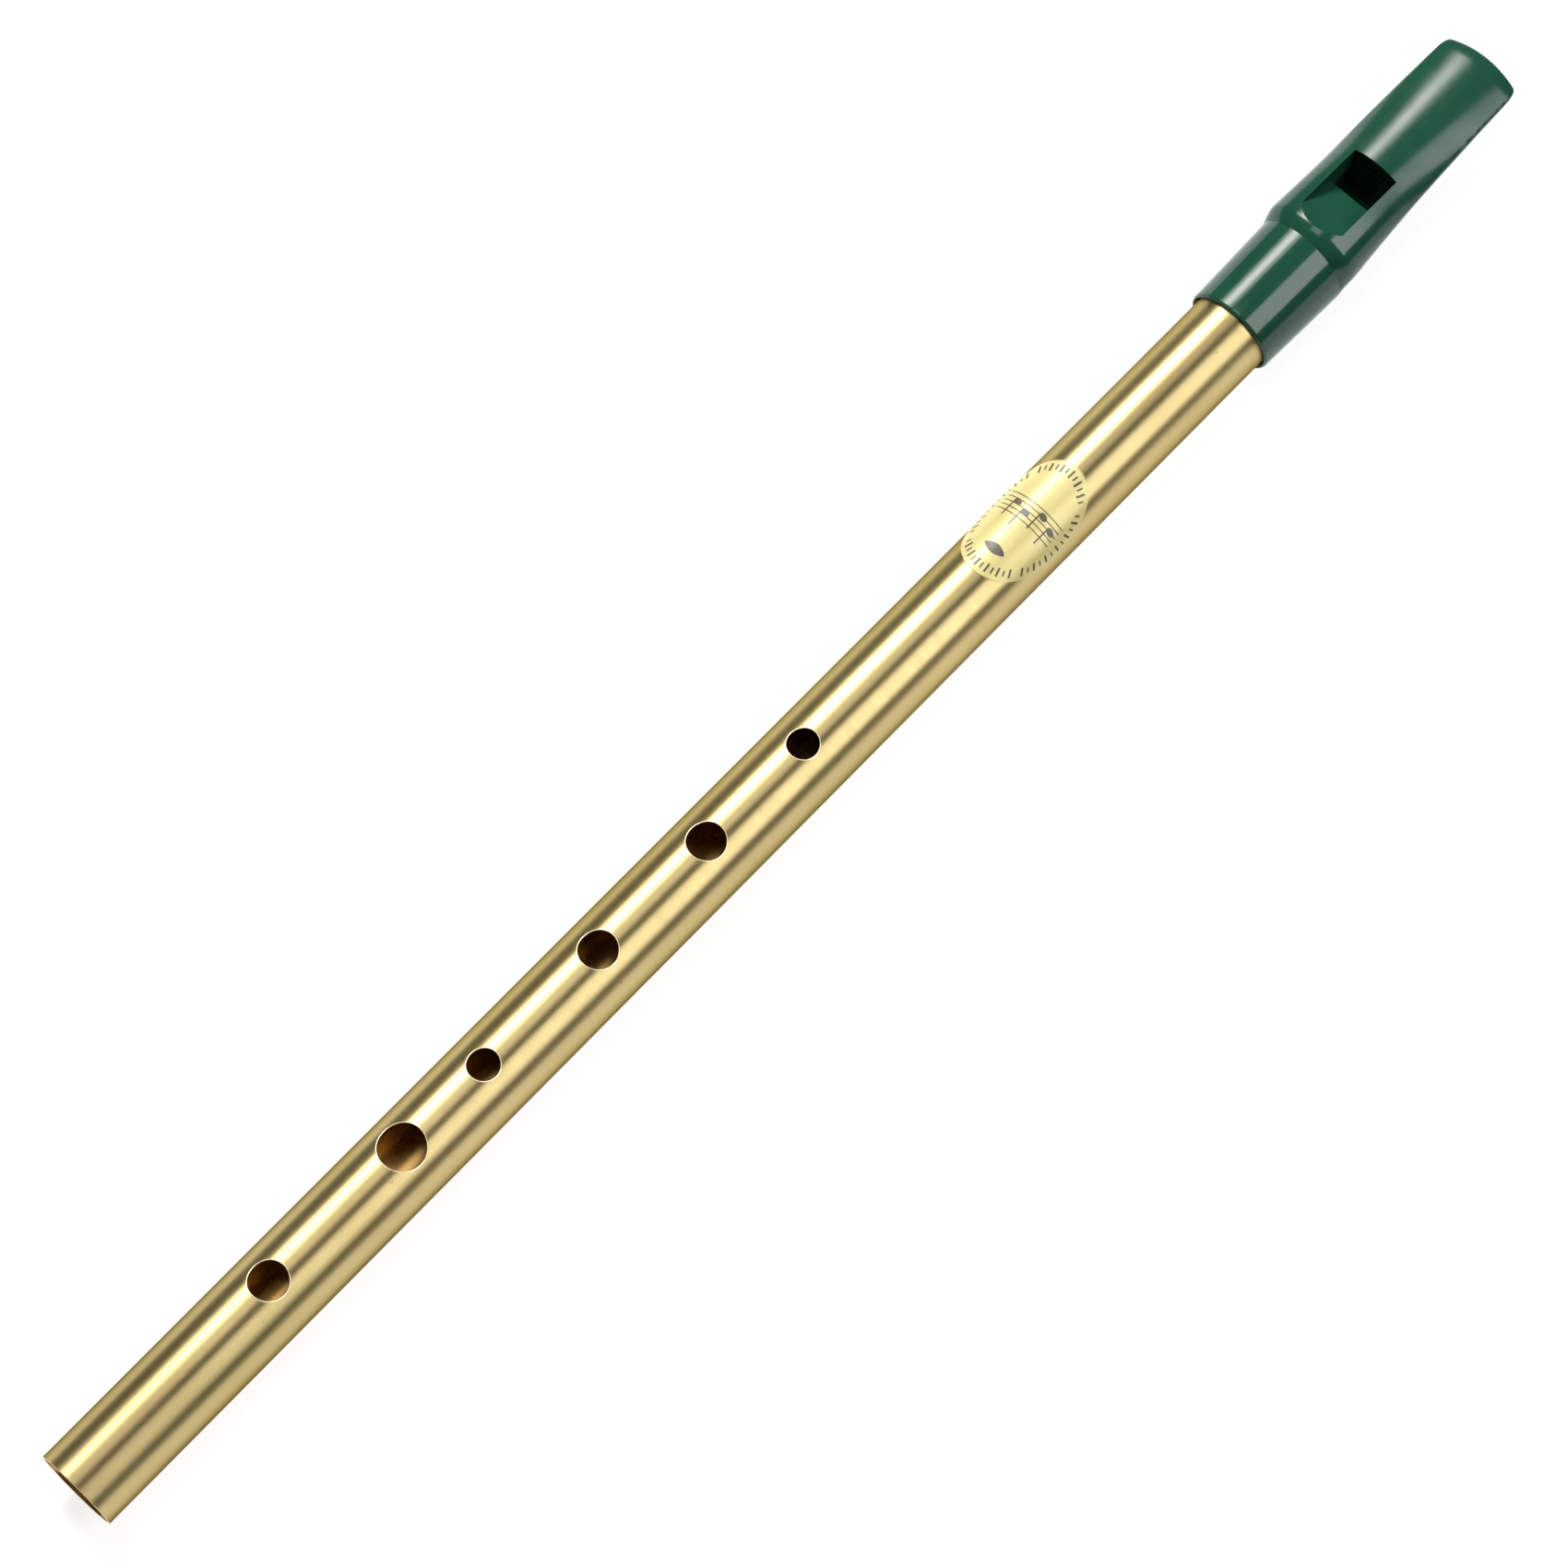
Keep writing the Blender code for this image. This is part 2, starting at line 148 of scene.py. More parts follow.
# The stave: its middle along the tube, its lines, and each note's place around and off the middle.
STAVE_MIDDLE = 1.1 * MM
STAVE_LINES = 5
STAVE_SPACING = 0.85 * MM
STAVE_HALF_WIDTH = 5.4 * MM
STAVE_LINE_WIDTH = 0.17 * MM
NOTES = (
    (-4.2 * MM, 0.0 * MM),
    (-1.9 * MM, 0.85 * MM),
    (0.5 * MM, -0.42 * MM),
    (2.7 * MM, 0.42 * MM),
)
NOTE_HALF_SIZES = (0.52 * MM, 0.76 * MM)
NOTE_TILT = math.radians(-18)
STEM_SIDE = 0.62 * MM
STEM_LENGTH = 3.0 * MM
STEM_WIDTH = 0.24 * MM
LEAF_ALONG = -6.6 * MM
LEAF_HALF_LENGTH = 1.9 * MM
LEAF_WIDTH = 1.7 * MM
LEAF_POINT_WIDTH = 0.02 * MM

# Softboxes, all about the tube's axis: degrees from +Z towards +Y, distance, place along X, size
# along the tube and across it, and radiance. The key's layers lie over each other, each with its
# half angle in degrees and its radiance, so its edges are soft.
KEY_ANGLE = 36
KEY_DISTANCE = 1.2
KEY_X = 0.45
KEY_LENGTH = 0.7
KEY_LAYERS = ((6, 17.0), (10, 10.0), (16, 4.5))
KEY_COLOUR = (1.0, 0.985, 0.95)
FILL_RIGHT = (-43.5, 1.3, 0.45, (0.7, 0.96), 4.9)
FILL_TOP = (5, 1.2, 0.1, (0.6, 0.4), 2.9)

# Wear on the beak: how far it takes to come in, and the roughness it adds.
WEAR_LENGTH = 12 * MM
WEAR_ROUGHNESS = 0.07


# ---------------------------------------------------------------- materials

def new_material(name):
    material = bpy.data.materials.new(name)
    material.use_nodes = True
    return material, material.node_tree.nodes, material.node_tree.links


def set_inputs(node, **values):
    for key, value in values.items():
        node.inputs[key.replace("_", " ")].default_value = value


def noise(nodes, links, where, scales, detail):
    """Noise from 0 to 1 whose frequency along each axis, in 1/m, is the axis's scale."""
    mapping = nodes.new("ShaderNodeMapping")
    mapping.inputs["Scale"].default_value = scales
    links.new(where, mapping.inputs["Vector"])
    texture = nodes.new("ShaderNodeTexNoise")
    set_inputs(texture, Scale=1.0, Detail=detail, Roughness=0.55)
    links.new(mapping.outputs["Vector"], texture.inputs["Vector"])
    return texture.outputs["Fac"]


def ramp(nodes, links, source, stops):
    """Colours from (position, colour) stops."""
    node = nodes.new("ShaderNodeValToRGB")
    elements = node.color_ramp.elements
    while len(elements) < len(stops):
        elements.new(0.5)
    for element, (position, colour) in zip(elements, stops):
        element.position = position
        element.color = (*colour, 1.0)
    links.new(source, node.inputs["Fac"])
    return node.outputs["Color"]


def map_range(nodes, links, source, low, high, to_low, to_high):
    node = nodes.new("ShaderNodeMapRange")
    node.inputs["From Min"].default_value = low
    node.inputs["From Max"].default_value = high
    node.inputs["To Min"].default_value = to_low
    node.inputs["To Max"].default_value = to_high
    links.new(source, node.inputs["Value"])
    return node.outputs["Result"]


def bump(nodes, links, height, strength, distance, normal=None):
    node = nodes.new("ShaderNodeBump")
    node.inputs["Strength"].default_value = strength
    node.inputs["Distance"].default_value = distance
    links.new(height, node.inputs["Height"])
    if normal is not None:
        links.new(normal, node.inputs["Normal"])
    return node.outputs["Normal"]


def multiplied(nodes, links, first, second):
    """Two colours multiplied."""
    node = nodes.new("ShaderNodeMix")
    node.data_type = "RGBA"
    node.blend_type = "MULTIPLY"
    node.inputs["Factor"].default_value = 1.0
    first_colour, second_colour = [i for i in node.inputs if i.type == "RGBA"]
    links.new(first, first_colour)
    links.new(second, second_colour)
    return next(o for o in node.outputs if o.type == "RGBA")


def added(nodes, links, first, second):
    """Two numbers added."""
    node = nodes.new("ShaderNodeMath")
    links.new(first, node.inputs[0])
    links.new(second, node.inputs[1])
    return node.outputs[0]


def along_axis(nodes, links, vector):
    node = nodes.new("ShaderNodeSeparateXYZ")
    links.new(vector, node.inputs["Vector"])
    return node.outputs["X"]


def object_coordinates(nodes):
    return nodes.new("ShaderNodeTexCoord").outputs["Object"]


def grain_round_tube(nodes, links, shader):
    """Turn the shader's stretched highlights to run round the tube's axis."""
    shader.inputs["Anisotropic Rotation"].default_value = 0.25
    round_tube = nodes.new("ShaderNodeTangent")
    round_tube.direction_type = "RADIAL"
    round_tube.axis = "X"
    links.new(round_tube.outputs["Tangent"], shader.inputs["Tangent"])


def brass_material():
    """Satin drawn brass: fine turning marks round the tube, small colour drift and a few specks."""
    material, nodes, links = new_material("satin_brass")
    shader = nodes["Principled BSDF"]
    where = object_coordinates(nodes)
    marks = noise(nodes, links, where, (3200, 160, 160), 3.0)
    drift = noise(nodes, links, where, (35, 60, 60), 3.0)
    specks = noise(nodes, links, where, (1300, 1300, 1300), 2.0)
    colour = ramp(nodes, links, drift, ((0.3, (0.465, 0.37, 0.17)), (0.7, (0.525, 0.425, 0.208))))
    spots = ramp(nodes, links, specks, ((0.20, (0.55, 0.5, 0.4)), (0.27, (1, 1, 1))))
    links.new(multiplied(nodes, links, colour, spots), shader.inputs["Base Color"])
    set_inputs(shader, Metallic=1.0, Anisotropic=0.85, Specular_Tint=(0.26, 0.24, 0.2, 1.0))
    grain_round_tube(nodes, links, shader)
    rough = map_range(nodes, links, marks, 0.3, 0.7, 0.38, 0.43)
    links.new(rough, shader.inputs["Roughness"])
    normal = bump(nodes, links, marks, 0.05, 0.00001)
    links.new(normal, shader.inputs["Normal"])
    return material


def bare_edge_material():
    """Cut brass on the rims of the holes: a little brighter than the drawn surface."""
    material, nodes, links = new_material("cut_brass")
    shader = nodes["Principled BSDF"]
    where = object_coordinates(nodes)
    marks = noise(nodes, links, where, (2500, 2500, 2500), 3.0)
    colour = ramp(nodes, links, marks, ((0.35, (0.90, 0.76, 0.50)), (0.65, (0.97, 0.87, 0.64))))
    links.new(colour, shader.inputs["Base Color"])
    set_inputs(shader, Metallic=1.0)
    rough = map_range(nodes, links, marks, 0.3, 0.7, 0.36, 0.5)
    links.new(rough, shader.inputs["Roughness"])
    return material


def bore_material():
    """The inside of the tube: dull and brown with age."""
    material, nodes, links = new_material("dull_bore_brass")
    shader = nodes["Principled BSDF"]
    where = object_coordinates(nodes)
    stain = noise(nodes, links, where, (120, 400, 400), 5.0)
    colour = ramp(nodes, links, stain, ((0.3, (0.38, 0.21, 0.06)), (0.7, (0.72, 0.46, 0.16))))
    links.new(colour, shader.inputs["Base Color"])
    set_inputs(shader, Metallic=0.9)
    rough = map_range(nodes, links, stain, 0.3, 0.7, 0.22, 0.4)
    links.new(rough, shader.inputs["Roughness"])
    return material


def plastic_material(name, dark, light, rough_low, rough_high):
    """Moulded green plastic: slight colour drift, handling haze, moulding texture and scuffs."""
    material, nodes, links = new_material(name)
    shader = nodes["Principled BSDF"]
    where = object_coordinates(nodes)
    drift = noise(nodes, links, where, (120, 160, 160), 4.0)
    haze = noise(nodes, links, where, (260, 420, 420), 5.0)
    skin = noise(nodes, links, where, (1400, 1900, 1900), 3.0)
    colour = ramp(nodes, links, drift, ((0.3, dark), (0.7, light)))
    links.new(colour, shader.inputs["Base Color"])
    rough = map_range(nodes, links, haze, 0.3, 0.75, rough_low, rough_high)
    along = along_axis(nodes, links, where)
    worn = map_range(nodes, links, along, BODY_X, BODY_X + WEAR_LENGTH, 0, WEAR_ROUGHNESS)
    links.new(added(nodes, links, rough, worn), shader.inputs["Roughness"])
    shader.inputs["Specular IOR Level"].default_value = 0.32
    normal = bump(nodes, links, skin, 0.06, 0.00002)
    normal = bump(nodes, links, haze, 0.05, 0.00008, normal)
    links.new(normal, shader.inputs["Normal"])
    return material


def film_material():
    """Pale yellow label film that lets some of the brass's sheen through, with uneven dye."""
    material, nodes, links = new_material("label_film")
    shader = nodes["Principled BSDF"]
    where = object_coordinates(nodes)
    dye = noise(nodes, links, where, (120, 200, 200), 4.0)
    grain = noise(nodes, links, where, (1800, 1800, 1800), 2.0)
    colour = ramp(nodes, links, dye, ((0.3, (0.48, 0.42, 0.175)), (0.7, (0.55, 0.48, 0.22))))
    links.new(colour, shader.inputs["Base Color"])
    set_inputs(shader, Metallic=0.2, Anisotropic=0.8)
    grain_round_tube(nodes, links, shader)
    rough = map_range(nodes, links, grain, 0.3, 0.7, 0.40, 0.46)
    links.new(rough, shader.inputs["Roughness"])
    return material


def ink_material():
    """Dark grey-brown label ink, thinner in places."""
    material, nodes, links = new_material("label_ink")
    shader = nodes["Principled BSDF"]
    where = object_coordinates(nodes)
    wear = noise(nodes, links, where, (1200, 1200, 1200), 4.0)
    colour = ramp(nodes, links, wear, ((0.35, (0.03, 0.026, 0.014)), (0.8, (0.09, 0.075, 0.035))))
    links.new(colour, shader.inputs["Base Color"])
    rough = map_range(nodes, links, wear, 0.3, 0.7, 0.35, 0.5)
    links.new(rough, shader.inputs["Roughness"])
    return material


# ---------------------------------------------------------------- shapes

def object_from(mesh_data, name, materials=()):
    bmesh.ops.recalc_face_normals(mesh_data, faces=mesh_data.faces)
    mesh = bpy.data.meshes.new(name)
    mesh_data.to_mesh(mesh)
    mesh_data.free()
    obj = bpy.data.objects.new(name, mesh)
    bpy.context.scene.collection.objects.link(obj)
    for material in materials:
        obj.data.materials.append(material)
    return obj


def shade(obj, degrees):
    obj.data.polygons.foreach_set("use_smooth", [True] * len(obj.data.polygons))
    obj.data.set_sharp_from_angle(angle=math.radians(degrees))


def apply_modifiers(obj):
    """Replace the mesh with its evaluated shape."""
    graph = bpy.context.evaluated_depsgraph_get()
    mesh = bpy.data.meshes.new_from_object(obj.evaluated_get(graph))
    obj.modifiers.clear()
    obj.data = mesh


def ring_points(count):
    """Turns, in radians, spaced evenly round a circle."""
    return [2 * math.pi * i / count for i in range(count)]


def on_axis_circle(shape, x, radius, turn):
    """A vertex on a circle about the tube's axis."""
    return shape.verts.new((x, radius * math.sin(turn), AXIS_HEIGHT + radius * math.cos(turn)))


def cylinder(name, radius, start, end, steps):
    start, end = Vector(start), Vector(end)
    along = end - start
    shape = bmesh.new()
    bmesh.ops.create_cone(
        shape, cap_ends=True, segments=steps, radius1=radius, radius2=radius, depth=along.length,
        matrix=Matrix.Translation((start + end) / 2)
        @ along.to_track_quat("Z", "Y").to_matrix().to_4x4(),
    )
    return object_from(shape, name)


def prism(name, outline, half_width):
    """A closed prism across Y through the (x, z) outline."""
    shape = bmesh.new()
    sides = []
    for y in (-half_width, half_width):
        sides.append([shape.verts.new((x, y, z)) for x, z in outline])
    shape.faces.new(sides[0])
    shape.faces.new(sides[1])
    for i in range(len(outline)):
        j = (i + 1) % len(outline)
        shape.faces.new((sides[0][i], sides[0][j], sides[1][j], sides[1][i]))
    return object_from(shape, name)


def cut(obj, cutter, operation="DIFFERENCE"):
    """Cut (or join, or keep) with a helper solid, then remove the helper."""
    modifier = obj.modifiers.new("cut", "BOOLEAN")
    modifier.operation = operation
    modifier.solver = "EXACT"
    modifier.object = cutter
    apply_modifiers(obj)
    bpy.data.objects.remove(cutter, do_unlink=True)


def loft(name, stations, steps):
    """A closed solid through (x, section, bow) stations of matching points."""
    shape = bmesh.new()
    rings = []
    for x, section, bow in stations:
        back = bow * section[:, 0] ** 2 / (2 * TIP_BOW_RADIUS)
        rings.append(
            [shape.verts.new((x - b, y, AXIS_HEIGHT + z)) for b, (y, z) in zip(back, section)]
        )
    for near, far in zip(rings, rings[1:]):
        for i in range(steps):
            j = (i + 1) % steps
            shape.faces.new((near[i], near[j], far[j], far[i]))
    shape.faces.new(rings[0])
    shape.faces.new(rings[-1])
    return object_from(shape, name)


def revolve(name, profile, steps):
    """A ring solid about the tube's axis from a closed (radius, x) profile."""
    shape = bmesh.new()
    rings = []
    for turn in ring_points(steps):
        rings.append([on_axis_circle(shape, x, r, turn) for r, x in profile])
    for i in range(steps):
        near, far = rings[i], rings[(i + 1) % steps]
        for k in range(len(profile)):
            m = (k + 1) % len(profile)
            shape.faces.new((near[k], near[m], far[m], far[k]))
    return object_from(shape, name)


def revolve_cutter(name, profile):
    """A closed solid of revolution about the tube's axis, from an open (radius, x) profile."""
    steps = 128
    shape = bmesh.new()
    rings = []
    for r, x in profile:
        if r == 0.0:
            rings.append([shape.verts.new((x, 0, AXIS_HEIGHT))])
            continue
        rings.append([on_axis_circle(shape, x, r, turn) for turn in ring_points(steps)])
    for near, far in zip(rings, rings[1:]):
        for i in range(steps):
            j = (i + 1) % steps
            if len(near) == 1:
                shape.faces.new((near[0], far[i], far[j]))
            elif len(far) == 1:
                shape.faces.new((near[i], near[j], far[0]))
            else:
                shape.faces.new((near[i], near[j], far[j], far[i]))
    return object_from(shape, name)


def upper_curve(dome, turns, width, rise):
    """Heights of a half ellipse, brought by the share called dome to an arc of the same ends."""
    ellipse = rise * np.sin(turns)
    radius = (width ** 2 + rise ** 2) / (2 * rise)
    arc = np.sqrt(radius ** 2 - (width * np.cos(turns)) ** 2) - (radius - rise)
    return np.where(ellipse > 0, ellipse + dome * (arc - ellipse), ellipse)


def section_points(dome, half_width, widest, top, low_centre, low_radius):
    """Points round one body section: the smallest convex outline round a lens and a circle."""
    turns = np.linspace(0, 2 * math.pi, 720, endpoint=False)
    normals = np.stack([np.cos(turns), np.sin(turns)], 1)
    width, rise = half_width - SECTION_ROUNDING, top - widest - SECTION_ROUNDING
    heights = widest + upper_curve(dome, turns, width, rise)
    lens = np.stack([width * np.cos(turns), heights], 1)
    circle = (0, low_centre) + (low_radius - SECTION_ROUNDING) * normals
    points = np.concatenate([lens, circle])
    middle = (top + low_centre - low_radius) / 2
    rays = 2 * math.pi * np.arange(SECTION_STEPS) / SECTION_STEPS
    reach = ((points - (0, middle)) @ normals.T).max(axis=0) + SECTION_ROUNDING
    facing = np.cos(rays[:, None] - turns[None, :])
    shares = np.where(facing > 0.05, reach[None, :] / np.maximum(facing, 0.05), np.inf)
    distance = shares.min(axis=1)
    return np.stack([distance * np.cos(rays), middle + distance * np.sin(rays)], 1)


def smooth_columns(share):
    """The body's section sizes at a share of its length, eased between the named sections."""
    table = np.array(BODY_SECTIONS)
    near = np.linspace(share - SECTION_EASING, share + SECTION_EASING, 9).clip(0, 1)
    dome, *sizes = [np.interp(near, table[:, 0], column).mean() for column in table[:, 1:].T]
    return [dome] + [size * TUBE_RADIUS for size in sizes]


def body_section(share):
    return section_points(*smooth_columns(share))


def circle_section(radius):
    return section_points(0.0, radius, 0.0, radius, 0.0, radius)


def scaled_section(section, wide, high):
    middle = (section[:, 1].max() + section[:, 1].min()) / 2
    return np.stack([section[:, 0] * wide, middle + (section[:, 1] - middle) * high], 1)


def sleeve_stations():
    """(x, section, share of the end's bow) of the sleeve, from its rounded mouth."""
    stations = []
    for turn in np.linspace(0, math.pi / 2, 7):
        x = MOUTH_X + MOUTH_CHAMFER_LENGTH * (1 - math.cos(turn))
        radius = SLEEVE_RADIUS_AT_MOUTH - MOUTH_CHAMFER_DEPTH * (1 - math.sin(turn))
        stations.append((x, circle_section(radius), 0.0))
    straight_x = MOUTH_X + MOUTH_CHAMFER_LENGTH
    for share in np.linspace(0, 1, 9)[1:]:
        x = straight_x + share * (SLEEVE_END_X - straight_x)
        radius = SLEEVE_RADIUS_AT_MOUTH + share * (SLEEVE_RADIUS - SLEEVE_RADIUS_AT_MOUTH)
        stations.append((x, circle_section(radius), 0.0))
    return stations


def shoulder_stations():
    """Stations from the sleeve's round end to the body's first section."""
    last_circle = circle_section(SLEEVE_RADIUS)
    first = body_section(0.0)
    stations = []
    for share in np.linspace(0, 1, 17)[1:-1]:
        mix = 1 - (1 - share) ** SHOULDER_POWER
        x = SLEEVE_END_X + share * (BODY_X - SLEEVE_END_X)
        stations.append((x, last_circle * (1 - mix) + first * mix, 0.0))
    return stations


def body_stations():
    """Stations of the body and its rounded, bowed tip, closed by smaller and smaller sections."""
    stations = []
    length = TIP_X - BODY_X
    for share in np.linspace(0, (length - TIP_ROUNDING) / length, 48)[:-1]:
        stations.append((BODY_X + share * length, body_section(share), share ** TIP_BOW_POWER))
    for turn in np.linspace(0, math.pi / 2, 14):
        back = TIP_ROUNDING * (1 - math.sin(turn))
        share = 1 - back / length
        wide = TIP_WIDTH_SHARE + (1 - TIP_WIDTH_SHARE) * math.cos(turn)
        high = TIP_HEIGHT_SHARE + (1 - TIP_HEIGHT_SHARE) * math.cos(turn)
        section = scaled_section(body_section(share), wide, high)
        stations.append((TIP_X - back, section, share ** TIP_BOW_POWER))
    for scale in (0.8, 0.6, 0.4, 0.2):
        stations.append((TIP_X, scaled_section(section, scale, scale), 1.0))
    return stations


def head_stations():
    """All the head's stations from the socket's mouth to the tip, kept inside the CAD's box."""
    stations = sleeve_stations() + shoulder_stations() + body_stations()
    return [(x, section * INSIDE_BOX, bow) for x, section, bow in stations]


# ---------------------------------------------------------------- pieces

def tube_profile():
    """The closed (radius, x) outline of the tube's wall, its cut ends slightly rounded."""
    edge = END_ROUNDING
    rounding = [(math.sin(t), 1 - math.cos(t)) for t in np.linspace(0, math.pi / 2, 5)]
    outer_foot = [(TUBE_RADIUS - edge + edge * s, FOOT_X + edge * c) for s, c in rounding]
    inner_foot = [(BORE_RADIUS + edge - edge * s, FOOT_X + edge * c) for s, c in rounding]
    outer_end = [(r, FOOT_X + TUBE_END_X - x) for r, x in outer_foot]
    inner_end = [(r, FOOT_X + TUBE_END_X - x) for r, x in inner_foot]
    return outer_foot + outer_end[::-1] + inner_end + inner_foot[::-1]


def tube_material_index(face):
    """0 for the drawn outside, 1 for cut edges, 2 for the bore."""
    out = Vector((0, face.center.y, face.center.z - AXIS_HEIGHT))
    facing = face.normal.dot(out.normalized())
    inside = out.length < (TUBE_RADIUS + BORE_RADIUS) / 2
    if facing < -0.9 and inside:
        return 2
    return 1 if abs(facing) <= 0.8 else 0


def make_tube(drawn, edge, bore):
    tube = revolve("whistle_tube", tube_profile(), 256)
    for number, (distance, radius) in enumerate(FINGER_HOLES):
        x = FOOT_X + distance
        top = AXIS_HEIGHT + 2 * TUBE_RADIUS
        cut(tube, cylinder(f"hole_{number}", radius, (x, 0, AXIS_HEIGHT), (x, 0, top), 96))
    tube.data.materials.clear()
    for material in (drawn, edge, bore):
        tube.data.materials.append(material)
    for face in tube.data.polygons:
        face.material_index = tube_material_index(face)
    shade(tube, 35)
    return tube


def air_path_outline():
    """(x, z) corners of the cut for the ramp, the blade, the window and the windway."""
    axis = AXIS_HEIGHT
    blade_top = axis + BLADE_HEIGHT
    blade_low = blade_top - BLADE_THICKNESS
    slope = (BODY_SECTIONS[0][4] * TUBE_RADIUS - BLADE_HEIGHT) / RAMP_LENGTH
    undercut = BLADE_X - STOP_X - UNDERCUT_FROM_STOP
    above = 2 * TUBE_RADIUS
    beyond = TIP_X + TUBE_RADIUS
    return (
        (BLADE_X - undercut, axis),
        (beyond, axis),
        (beyond, axis + WINDWAY_ROOF),
        (WINDOW_END_X, axis + WINDWAY_ROOF),
        (WINDOW_END_X, axis + above),
        (BLADE_X - (above - BLADE_HEIGHT) / slope, axis + above),
        (BLADE_X, blade_top),
        (BLADE_X, blade_low),
        (BLADE_X - undercut, blade_low + slope * undercut / 2),
    )


def rim_ring(shape, hole_x, hole_radius, turn, sides):
    """Vertices round the lip's small section, at a turn about the hole."""
    y = hole_radius * math.sin(turn)
    z = AXIS_HEIGHT + math.sqrt(TUBE_RADIUS ** 2 - y ** 2)
    away = Vector((math.cos(turn), math.sin(turn), -y / TUBE_RADIUS * math.sin(turn))).normalized()
    up = Vector((0, y, z - AXIS_HEIGHT)).normalized()
    middle = Vector((hole_x + hole_radius * math.cos(turn), y, z)) - up * HOLE_LIP * RIM_SINK
    return [
        shape.verts.new(middle + HOLE_LIP * (away * math.cos(a) + up * math.sin(a)))
        for a in ring_points(sides)
    ]


def make_hole_rims(material):
    """A fine raised lip of cut brass round each finger hole."""
    shape = bmesh.new()
    steps, sides = 96, 8
    for distance, radius in FINGER_HOLES:
        rings = [rim_ring(shape, FOOT_X + distance, radius, t, sides) for t in ring_points(steps)]
        for i in range(steps):
            near, far = rings[i], rings[(i + 1) % steps]
            for k in range(sides):
                m = (k + 1) % sides
                shape.faces.new((near[k], near[m], far[m], far[k]))
    rims = object_from(shape, "hole_rims", [material])
    shade(rims, 60)
    return rims


def make_head(material):
    """The mouthpiece's shell: its outside, less the socket, the chamber and the air's path."""
    head = loft("mouthpiece_shell", head_stations(), SECTION_STEPS)
    beyond = TUBE_RADIUS
    middle = AXIS_HEIGHT + CHAMBER_HEIGHT
    mouth_radius = SOCKET_RADIUS + SOCKET_LEAD_IN
    socket = revolve_cutter("socket", (
        (0.0, MOUTH_X - beyond),
        (mouth_radius, MOUTH_X - beyond),
        (mouth_radius, MOUTH_X),
        (SOCKET_RADIUS, MOUTH_X + SOCKET_LEAD_IN),
        (SOCKET_RADIUS, STOP_X),
        (0.0, STOP_X),
    ))
    cut(head, socket)
    cut(head, cylinder(
        "chamber", CHAMBER_RADIUS, (MOUTH_X, 0, middle), (TIP_X + beyond, 0, middle), 128
    ))
    cut(head, prism("air_path", air_path_outline(), WINDOW_HALF_WIDTH))
    head.data.materials.clear()
    head.data.materials.append(material)
    shade(head, 15)
    return head


def make_block(material):
    """The plug under the windway, which ends flush with the tip."""
    middle = AXIS_HEIGHT + CHAMBER_HEIGHT
    floor = AXIS_HEIGHT + WINDWAY_FLOOR
    end = TIP_X + TUBE_RADIUS
    block = cylinder(
        "windway_block", CHAMBER_RADIUS - BLOCK_CLEARANCE,
        (WINDOW_END_X, 0, middle), (end, 0, middle), 128,
    )
    cut(block, prism("windway_floor", (
        (WINDOW_END_X, AXIS_HEIGHT), (end, AXIS_HEIGHT), (end, floor), (WINDOW_END_X, floor),
    ), WINDOW_HALF_WIDTH - BLOCK_CLEARANCE), "UNION")
    cut(block, loft("outline", head_stations(), SECTION_STEPS), "INTERSECT")
    block.data.materials.clear()
    block.data.materials.append(material)
    shade(block, 20)
    return block


def wrap(shape, along, around, radius):
    """A vertex at a place on the label: along the tube, and around it from the label's middle."""
    turn = LABEL_TURN + around / TUBE_RADIUS
    return shape.verts.new((
        LABEL_X + along, radius * math.sin(turn), AXIS_HEIGHT + radius * math.cos(turn),
    ))


def label_skin(shape, radius, rings, sectors):
    """The middle vertex and the oval rings of one side of the label's film."""
    skin = []
    for ring in range(1, rings + 1):
        share = ring / rings
        skin.append([
            wrap(
                shape,
                share * LABEL_HALF_LENGTH * math.cos(turn),
                share * LABEL_HALF_WRAP * math.sin(turn),
                radius,
            )
            for turn in ring_points(sectors)
        ])
    return wrap(shape, 0, 0, radius), skin


def make_label_film(material):
    """A thin closed oval film bent round the tube."""
    rings, sectors = 24, 160
    shape = bmesh.new()
    skins = [label_skin(shape, radius, rings, sectors) for radius in (LABEL_INNER, LABEL_OUTER)]
    for i in range(sectors):
        j = (i + 1) % sectors
        for middle, skin in skins:
            shape.faces.new((middle, skin[0][i], skin[0][j]))
            for near, far in zip(skin, skin[1:]):
                shape.faces.new((near[i], near[j], far[j], far[i]))
        low, high = skins[0][1][-1], skins[1][1][-1]
        shape.faces.new((low[i], low[j], high[j], high[i]))
    film = object_from(shape, "label_film", [material])
    shade(film, 40)
    return film


def ribbon(shape, points, widths):
    """A flat inked stroke along (along, around) points, with a width at each."""
    points = np.array(points, float)
    ways = np.gradient(points, axis=0)
    ways /= np.linalg.norm(ways, axis=1)[:, None]
    sides = np.stack([-ways[:, 1], ways[:, 0]], 1) * (np.array(widths) / 2)[:, None]
    left = [wrap(shape, *p, INK_RADIUS) for p in points + sides]
    right = [wrap(shape, *p, INK_RADIUS) for p in points - sides]
    for k in range(len(points) - 1):
        shape.faces.new((left[k], left[k + 1], right[k + 1], right[k]))


